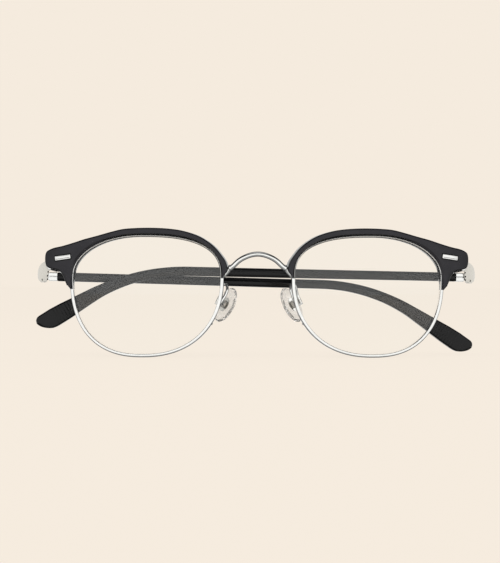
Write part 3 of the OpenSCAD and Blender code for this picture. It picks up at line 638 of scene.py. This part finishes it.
# %% Plaques
PLAQUE_L, PLAQUE_H, PLAQUE_TILT = 5.2, 1.45, math.radians(7.9)
PLAQUE_ROUND, POCKET_ROOM = 0.22, 0.2
PLAQUE_FROM_CROSS = {"right": (TEMPORAL_W + 2.85, 5.95), "left": (TEMPORAL_W + 2.5, 6.35)}
# The rings of the bar from back to front: trim at its ends, trim along its edges, and lift.
PLAQUE_RINGS = [(0.1, 0.1, -0.2), (0, 0, -0.15), (0, 0, 0.22), (0.04, 0.03, 0.3), (0.14, 0.12, 0.36)]
STEP_DOWN, STEP_H, STEP_SHORTER = 0.3, 0.16, 0.5


def at_plaque(name, x, z, lift):
    """A point on the brow's face, x along the plaque and z across it, at a height over the face."""
    c, s = math.cos(PLAQUE_TILT), math.sin(PLAQUE_TILT)
    middle = CROSS + Vector(PLAQUE_FROM_CROSS[name])
    return at_eye(SIDES[name], middle + Vector((x * c + z * s, z * c - x * s)), -BROW_FRONT - lift)


def bar_outline(length, height, r, n=5):
    """A rounded rectangle as a ring of points, anticlockwise from its lower right corner."""
    w, h = length / 2, height / 2
    return (arc((w - r, -h), (w, r - h), (w, -h), n) + arc((w, h - r), (w - r, h), (w, h), n)
            + arc((r - w, h), (-w, h - r), (-w, h), n) + arc((-w, r - h), (r - w, -h), (-w, -h), n))


def flat_bar(name, length, height, r, lifts, down=0.0):
    """A small bar with rounded ends between two heights over the brow's face."""
    outline = bar_outline(length, height, r)
    return skin([[at_plaque(name, x, z - down, lift) for x, z in outline] for lift in lifts])


for name in SIDES:
    rings = []
    for trim, edge, lift in PLAQUE_RINGS:
        outline = bar_outline(PLAQUE_L - 2 * trim, PLAQUE_H - 2 * edge, PLAQUE_ROUND)
        rings.append([at_plaque(name, x, z, lift) for x, z in outline])
    piece(f"{name}_plaque_bar", skin(rings), "front", silver, f"{name}_plaque", sharp=50)
    step = flat_bar(name, PLAQUE_L - STEP_SHORTER, STEP_H, 0.07, (0.3, 0.37), STEP_DOWN)
    piece(f"{name}_plaque_step", step, "front", painted_shade_metal)
    # Painted shade: a thin dark sheet, a little wider than the bar, stands for the shade in the gap round it.
    pocket_shade = flat_bar(name, PLAQUE_L + 2 * POCKET_ROOM, PLAQUE_H + 2 * POCKET_ROOM, 0.3, (-0.1, 0.01))
    piece(f"{name}_plaque_gap_shade", pocket_shade, "front", recess_shade)
print("plaque:", PLAQUE_L, "x", PLAQUE_H, "mm")

# %% [markdown]
# ## Bridge
# The bridge is one round wire that arches over the nose. Its ends grow thinner and lie beside the
# inner ends of the brows, where small solder beads hold them to the eyewires.

# %% Bridge
BRIDGE_RISE = 12.8
BRIDGE_R, BRIDGE_END_R, BRIDGE_TAPER = 0.8, 0.5, 24
gap = LENS_GAP / 2
# Half of the arch from the eyewire to the middle: across, behind the front, above the lens centre.
BRIDGE_HALF = [(gap - 0.55, 0, 5.75), (gap - 1.15, -0.05, 6.45), (gap - 1.95, -0.1, 7.4),
               (gap - 2.5, -0.2, 8.2), (gap - 3.7, -0.4, BRIDGE_RISE - 3.65),
               (gap - 5.3, -0.6, BRIDGE_RISE - 2.15), (gap - 7, -0.8, BRIDGE_RISE - 1.1),
               (gap - 9.1, -0.9, BRIDGE_RISE - 0.3)]
BEAD_ACROSS, BEAD_FRONT, BEAD_UP = gap - 2.6, 0.35, 8.5
BEAD_SIZE = (0.6, 0.85, 1, 1)

knots = BRIDGE_HALF + [(0, -0.95, BRIDGE_RISE)] + [(-x, y, z) for x, y, z in BRIDGE_HALF[::-1]]
path = spline([Vector((x, FRONT_Y + y, EYE.z + z)) for x, y, z in knots], 6)
ends = [min(i, len(path) - 1 - i) for i in range(len(path))]
radii = [BRIDGE_END_R + (BRIDGE_R - BRIDGE_END_R) * smooth(i / BRIDGE_TAPER) for i in ends]
bm = wire(path, radii, (0, 1, 0), 24)
for x in (BEAD_ACROSS, -BEAD_ACROSS):
    place = Matrix.Translation((x, FRONT_Y - BEAD_FRONT, EYE.z + BEAD_UP)) @ Matrix.Diagonal(BEAD_SIZE)
    bmesh.ops.create_icosphere(bm, subdivisions=3, radius=1, matrix=place)
piece("bridge_wire", bm, "front", silver, "bridge", sharp=50)
print("bridge wire:", len(path), "stations")

# %% [markdown]
# ## Hinge frames
# Each hinge has its own frame. Its Z follows the hinge axis, which leans a little, so that the
# folded temples lie one above the other. The temples are built lying folded in that frame.

# %% Hinge frames
HINGE = Vector((68.095, 0.46, 25.15))
# How a folded temple leans, in degrees: away from the lenses, and upwards to its free end.
FOLD = {"right": (6.5, -1.5), "left": (-0.5, 1.1)}
TEMPLE_TILT = math.radians(2)
OPEN_WAY = Vector((0, math.cos(TEMPLE_TILT), -math.sin(TEMPLE_TILT)))


def frame_of(x, y, z, origin):
    """The matrix that takes a point from a frame with these three axes to the world."""
    return Matrix([(x[i], y[i], z[i], origin[i]) for i in range(3)] + [(0, 0, 0, 1)])


def in_frame(bm, matrix):
    bmesh.ops.transform(bm, matrix=matrix, verts=bm.verts)


at_temple, at_hinge = {}, {}
for name, side in SIDES.items():
    back, up = (math.radians(a) for a in FOLD[name])
    way = Vector((-side * math.cos(back), math.sin(back), math.tan(up))).normalized()
    axis = -side * way.cross(OPEN_WAY).normalized()
    origin = Vector((side * HINGE.x, HINGE.y, HINGE.z))
    at_temple[name] = frame_of(way, -side * axis.cross(way), axis, origin)
    at_hinge[name] = frame_of(side * OPEN_WAY.cross(axis), OPEN_WAY, axis, origin)
    print(name, "axis:", [round(x, 4) for x in axis])

# %% [markdown]
# ## Temples
# A temple is a bar of acetate that runs straight from the hinge, bends down over the ear and widens
# towards its tip. The tip is cut on a slant and its corners are rounded. The flat faces keep crisp
# edges, and fine cross ribs run over the widened part of the inner face.

# %% Temples
STRAIGHT, EAR_R, EAR = 90, 59, math.radians(31.2)
EAR_L = EAR_R * EAR
WHOLE = {"right": 144.95, "left": 141.5}
# Height and thickness at some places along a temple that is TABLE_L long.
TABLE_L = 144
HEIGHTS = [(4.4, 2.8), (98, 2.9), (111, 3.2), (120, 3.75), (127, 4.7), (134, 5.75), (138, 6), (144, 5.5)]
THICKS = [(4.4, 3), (60, 2.8), (98, 2.9), (125, 3), (134, 2.85), (144, 2.6)]
HINGE_END, END_ROUND = 4.4, 0.5
CORNER, CROWN = 0.55, 0.12
# How far before its end the tip starts to close: along its top, its bottom and its faces.
TIP_HIGH, TIP_LOW, TIP_THICK = 1.9, 4.6, 1.6
TIP_FROM = 5
RIBS_FROM, RIBS_TO = 22.0, 6.0
RIB_PITCH, RIB_STEPS, RIB_HALF = 1.0, 6, 0.08


def lookup(table, x):
    """The value at x in a table of pairs, in a straight line between two of them."""
    if x <= table[0][0]:
        return table[0][1]
    for (a, u), (b, v) in zip(table, table[1:]):
        if x <= b:
            return u + (v - u) * (x - a) / (b - a)
    return table[-1][1]


def rounded_end(past, reach, power):
    """Share of the height that is left when a rounded end starts at 0 and closes at reach."""
    return (1 - min(max(past / reach, 0), 1) ** power) ** (1 / power)


def rib_height(l, whole):
    """How far the fine cross ribs of the inner face stand out at length l."""
    along = l - whole + RIBS_FROM
    if not 0 < along < RIBS_FROM - RIBS_TO:
        return 0
    return RIB_HALF * (1 - math.cos(2 * math.pi * along / RIB_PITCH))


def temple_section(l, whole):
    """Upper edge, lower edge and half thickness of the temple at length l."""
    share = l * TABLE_L / whole
    half, thick = lookup(HEIGHTS, share) / 2, lookup(THICKS, share) / 2
    middle = 0.35 * half
    high = middle + (half - middle) * rounded_end(l - whole + TIP_HIGH, TIP_HIGH, 2.2)
    low = middle - (half + middle) * rounded_end(l - whole + TIP_LOW, TIP_LOW, 1.55)
    thick *= 0.25 + 0.75 * rounded_end(l - whole + TIP_THICK, TIP_THICK, 2.0)
    if l < HINGE_END + END_ROUND:
        rounded = END_ROUND - math.sqrt(END_ROUND ** 2 - (HINGE_END + END_ROUND - l) ** 2)
        high, low, thick = (v - math.copysign(rounded, v) * 0.8 for v in (high, low, thick))
    return high, low, thick


def temple_ring(l, whole):
    """A ring across the temple at length l: a crowned bar with soft corners, on the curve of the ear."""
    bend = min(max((l - STRAIGHT) / EAR_L, 0), 1) * EAR
    over = max(l - STRAIGHT - EAR_L, 0)
    x = min(l, STRAIGHT) + EAR_R * math.sin(bend) + over * math.cos(bend)
    z = -EAR_R * (1 - math.cos(bend)) - over * math.sin(bend)
    high, low, thick = temple_section(l, whole)
    r = min(CORNER, 0.45 * (high - low), 0.9 * thick)
    edge, centre, reach = (1 - CROWN) * thick, (high + low) / 2, (high - low) / 2 - r
    crown = [(edge + CROWN * thick * (1 - k * k), centre + k * reach) for k in (-0.6, -0.2, 0.2, 0.6)]
    ring = arc((edge - r, low), (edge, low + r), (edge, low), 3) + crown
    ring += arc((edge, high - r), (edge - r, high), (edge, high), 3)
    ring += arc((r - edge, high), (-edge, high - r), (-edge, high), 3)
    ring += [(-rib_height(l, whole) - y, z) for y, z in crown[::-1]]
    ring += arc((-edge, low + r), (r - edge, low), (-edge, low), 3)
    return [Vector((x + v * math.sin(bend), y, z + v * math.cos(bend))) for y, v in ring]


def temple_stations(whole):
    """Where the rings stand: close together at both ends and over the cross ribs."""
    ribs_from = whole - RIBS_FROM
    stops = [HINGE_END + d for d in (0, 0.05, 0.15, 0.3, 0.5)]
    stops += [5 + (STRAIGHT - 5) * i / 30 for i in range(1, 31)]
    stops += [STRAIGHT + EAR_L * i / 24 for i in range(1, 25)]
    stops = [l for l in stops if l < ribs_from]
    steps = range(int((RIBS_FROM - RIBS_TO) * RIB_STEPS) + 1)
    stops += [ribs_from + RIB_PITCH * i / RIB_STEPS for i in steps]
    stops.append(whole - TIP_FROM)
    turns = (8, 16, 24, 32, 40, 48, 56, 64, 71, 77, 82, 86, 89.2)
    return stops + [whole - TIP_LOW * (1 - math.sin(math.radians(a))) for a in turns]


for name in SIDES:
    whole = WHOLE[name]
    stops = temple_stations(whole)
    bm = skin([temple_ring(l, whole) for l in stops])
    in_frame(bm, at_temple[name])
    piece(f"{name}_temple_bar", bm, f"{name}_temple", dull_acetate, f"{name}_temple")
print("temple stations:", len(stops))

# %% [markdown]
# ## Brackets
# A thin bright sheet stiffens the outer end of each brow from behind. It is a little larger than
# the acetate along the underside, so a silver edge follows the brow there.

# %% Brackets
SHEET, SHEET_FIT, SHEET_LOW, SHEET_HIGH = 0.6, 0.08, 0.65, 0.8
SHEET_IN, SHEET_SHARE = 1.6, 0.4
FIRST_MARGIN, LOW_MARGIN, LAST_LEFT = 16, 21.5, 3


def bracket_ring(side, edge, i):
    """One section of the sheet behind the brow: at first inside its edge, later a little past it."""
    o = edge[i]
    low = SHEET_LOW * smooth(i / BROW_STEPS - LOW_MARGIN)
    d = o - CROSS
    e = lens_edge(math.degrees(math.atan2(d.y, d.x)))
    inner = e + min(SHEET_IN, SHEET_SHARE * (o - e).length) * (o - e).normalized()
    outer = o + (-low if low else SHEET_HIGH) * edge_inwards(edge, i)
    near, far = brow_rear(inner) + SHEET_FIT, brow_rear(o) + SHEET_FIT
    section = [(inner, near + SHEET), (inner, near), (outer, far), (outer, far + SHEET)]
    return [at_eye(side, p, depth) for p, depth in section]


for name, side in SIDES.items():
    edge = brow_edge()
    rings = [bracket_ring(side, edge, i) for i in range(FIRST_MARGIN * BROW_STEPS, len(edge) - LAST_LEFT)]
    sheet = piece(f"{name}_bracket_sheet", skin(rings), "front", silver, f"{name}_brow_bracket")
    bevel = sheet.modifiers.new("edge", "BEVEL")
    bevel.width, bevel.segments, bevel.limit_method = 0.12 * MM, 2, "ANGLE"
print("bracket sections:", len(rings))

# %% [markdown]
# ## Nose pads
# A pad is a soft oval cushion of clear plastic on a pin, so that it can rock. Inside its back lies
# a small metal plate with pressed rings, and they are what shows through the plastic.

# %% Nose pads
PAD_L, PAD_W, PAD_T = 11.6, 6.8, 1.9
PAD_BACK, PAD_DROP, PIVOT_BACK = 6.6, 3, 2.3
PAD_INSET = {"right": 1.4, "left": 0.5}
PAD_ROCK, LEAN, SPLAY = math.radians(-3), math.radians(25), math.radians(50)
PAD_REAR = PIVOT_BACK - PAD_T / 2
PAD_X = Vector((math.cos(SPLAY) * math.cos(LEAN), -math.sin(SPLAY), math.cos(SPLAY) * math.sin(LEAN)))
PAD_Z = Vector((-math.sin(LEAN), 0, math.cos(LEAN)))
PAD_PLACE = {name: Vector((LENS_GAP / 2 - inset, FRONT_Y + PAD_BACK, EYE.z - PAD_DROP))
             for name, inset in PAD_INSET.items()}
# The rings of the cushion from its back to its face: share of the thickness, share of the outline.
CUSHION = [(0, 0.1), (0, 0.45), (0, 0.62), (0.05, 0.78), (0.14, 0.88), (0.28, 0.96), (0.45, 1),
           (0.62, 0.975), (0.76, 0.91), (0.87, 0.82), (0.94, 0.68), (0.98, 0.5), (1, 0.25), (1, 0.08)]
# The rings of the plate from its rim to its middle: depth in the cushion, share of the outline.
PLATE = [(-0.02, 1), (0.4, 1), (0.45, 0.94), (0.45, 0.84), (0.28, 0.78), (0.28, 0.62), (0.45, 0.56),
         (0.45, 0.42), (0.3, 0.36), (0.3, 0.18), (0.42, 0.12), (0.42, 0.02)]
PLATE_W, PLATE_L = 3.1, 4.6
EYE_R, EYE_W, TAB_W, TAB_L = 0.95, 1, 1, 1.9


def oval_skin(rings, width, length, count):
    """A closed skin over ovals, each given by its place on X and its share of the full outline."""
    turns = [2 * math.pi * j / count for j in range(count)]
    w, l = width / 2, length / 2
    oval = [(w * math.sin(a), l * math.cos(a)) for a in turns]
    return skin([[Vector((x, share * y, share * z)) for y, z in oval] for x, share in rings])


for name, side in SIDES.items():
    box = frame_of(PAD_X, PAD_Z.cross(PAD_X), PAD_Z, PAD_PLACE[name] + PIVOT_BACK * PAD_X)
    pad_frame = Matrix.Scale(side, 4, (1, 0, 0)) @ box @ Matrix.Rotation(PAD_ROCK, 4, "Y")
    bm = oval_skin([(-PAD_REAR - k * PAD_T, share) for k, share in CUSHION], PAD_W, PAD_L, 40)
    in_frame(bm, pad_frame)
    piece(f"{name}_pad_cushion", bm, f"{name}_pad", clear, f"{name}_nose_pad", sharp=60)
    bm = oval_skin([(-PAD_REAR - x, share) for x, share in PLATE], PLATE_W, PLATE_L, 32)
    tab = Matrix.Translation((-PAD_REAR / 2, 0, 0)) @ Matrix.Diagonal((PAD_REAR, TAB_W, TAB_L, 1))
    bmesh.ops.create_cube(bm, size=1, matrix=tab)
    bmesh.ops.create_cone(bm, cap_ends=True, segments=32, radius1=EYE_R, radius2=EYE_R, depth=EYE_W,
                          matrix=Matrix.Rotation(math.pi / 2, 4, "X"))
    in_frame(bm, pad_frame)
    piece(f"{name}_pad_plate", bm, f"{name}_pad", core_metal, f"{name}_pad_core", sharp=30)
print("pad:", PAD_L, "x", PAD_W, "x", PAD_T, "mm")

# %% [markdown]
# ## Pad arms
# A thin wire is soldered along the back of each eyewire. It climbs, turns in a small loop and comes
# down behind the box that holds the pad. A bead of solder marks where it starts.

# %% Pad arms
ARM_D, ARM_SEAT = 0.9, -0.02
BOX_ROOM, BOX_WALL = 0.3, 0.5
ARM_ANGLES = (214, 207, 200)
SOLDER_R = 0.62
# The loop of the wire, from the pad: outwards, behind the front, upwards.
ARM_LOOP = [(0.1, 2, 3.2), (-0.4, 2.5, 5), (-0.1, 3.6, 6.3), (0.9, 4.3, 6.3)]
reach = WIRE_DEPTH / 2 + ARM_D / 2 - ARM_SEAT
behind_box = EYE_R + BOX_ROOM + BOX_WALL + ARM_D / 2 - ARM_SEAT
for name, side in SIDES.items():
    place = PAD_PLACE[name]
    foot = place + PIVOT_BACK * PAD_X + behind_box * PAD_X
    turns = [at_eye(1, lens_edge(t), reach) for t in ARM_ANGLES]
    turns += [Vector((place.x + x, FRONT_Y + y, place.z + z)) for x, y, z in ARM_LOOP]
    turns += [foot + 4 * PAD_Z + Vector((0.45, 0.75, 0)), foot + 1.8 * PAD_Z, foot - 0.6 * PAD_Z]
    path = [Vector((side * p.x, p.y, p.z)) for p in spline(turns, 8)]
    bm = wire(path, [ARM_D / 2] * len(path), (1, 0, 0), 16)
    bmesh.ops.create_icosphere(bm, subdivisions=3, radius=SOLDER_R, matrix=Matrix.Translation(path[0]))
    piece(f"{name}_arm_wire", bm, "front", silver, f"{name}_pad_arm", sharp=60)
print("pad arm:", len(path), "stations")

# %% [markdown]
# ## Details at the hinges
# The folded glasses show the ends of the hinges from the front: the bright leaf of each temple with
# a fine milled line, small dark shapes that paint the shade in the gaps between the knuckles, and
# the round end of the hinge screw, a thin ring whose darker metal is painted shade.

# %% Hinge details
LEAF_SECTION = [(-1.24, 1.33), (-1.5, 1.25), (-1.58, 1.05), (-1.6, 0.2), (-1.36, 0.08), (-1.36, -0.06),
                (-1.56, -0.16), (-1.32, -1.2), (-1.24, -1.33)]
LEAF_STATIONS = (1.95, 2.02, 3.2, 4.3, 4.37)
GAPS, GAP_FRONT, GAP_SIZE = [(-1.9, 1.35), (-1.72, 0.1), (-1.8, -1.0)], 3.74, (0.2, 0.08, 0.3, 1)
# The round end of the screw is a thin ring: its middle and its half size along each axis.
SCREW_END_X, SCREW_END_Y, SCREW_END_Z = (-0.35, 0.45), (-2.86, -0.12), (-1.15, 0.26)
SCREW_END_WIRE = 0.09


for name in SIDES:
    leaf = skin([[Vector((x, y, z)) for y, z in LEAF_SECTION] for x in LEAF_STATIONS])
    in_frame(leaf, at_temple[name])
    piece(f"{name}_hinge_leaf", leaf, f"{name}_temple", silver, sharp=15)
    # Painted shade: small dark shapes stand in the gaps between the knuckles, where there is only shade.
    gap_shades = bmesh.new()
    for x, z in GAPS:
        place = Matrix.Translation((x, -GAP_FRONT, z)) @ Matrix.Diagonal(GAP_SIZE)
        bmesh.ops.create_icosphere(gap_shades, subdivisions=3, radius=1, matrix=place)
    in_frame(gap_shades, at_hinge[name])
    piece(f"{name}_hinge_gap_shade", gap_shades, "front", recess_shade)
    path = []
    for a in [2 * math.pi * j / 24 for j in range(25)]:
        (x, wide), (y, deep), (z, high) = SCREW_END_X, SCREW_END_Y, SCREW_END_Z
        path.append(Vector((x + wide * math.cos(a), y + deep * math.cos(a), z + high * math.sin(a))))
    ring = wire(path, [SCREW_END_WIRE] * len(path), (0, 1, 0), 8)
    in_frame(ring, at_hinge[name])
    piece(f"{name}_screw_end", ring, "front", painted_shade_metal)
print("hinge gaps:", len(GAPS))

# %% [markdown]
# ## Metal parts that stay as they are
# Small turned and milled parts already have the right shape in the frame. They keep their mesh and
# only get a finish, and a narrow bevel that catches the light along their edges.

# %% Carried-over parts
SOFT_EDGE, SOFT_ANGLE, WELD_M = 0.04, math.radians(35), 1e-7


def soften(node, finish):
    obj = nodes[node]
    obj.data.materials.clear()
    obj.data.materials.append(finish)
    weld = obj.modifiers.new("weld", "WELD")
    weld.merge_threshold = WELD_M
    bevel = obj.modifiers.new("edge", "BEVEL")
    bevel.width = SOFT_EDGE * MM
    bevel.segments = 2
    bevel.limit_method = "ANGLE"
    bevel.angle_limit = SOFT_ANGLE


pairs = {"rim_lock": silver, "endpiece": satin, "hinge_screw": steel, "pad_box": silver,
         "temple_joint": silver, "temple_core": steel}
for part, finish in pairs.items():
    for name in SIDES:
        soften(f"{name}_{part}", finish)
for part in ("brow_screws", "rim_lock_screws", "pad_screws"):
    soften(part, steel)
print("carried over:", 2 * len(pairs) + 3)
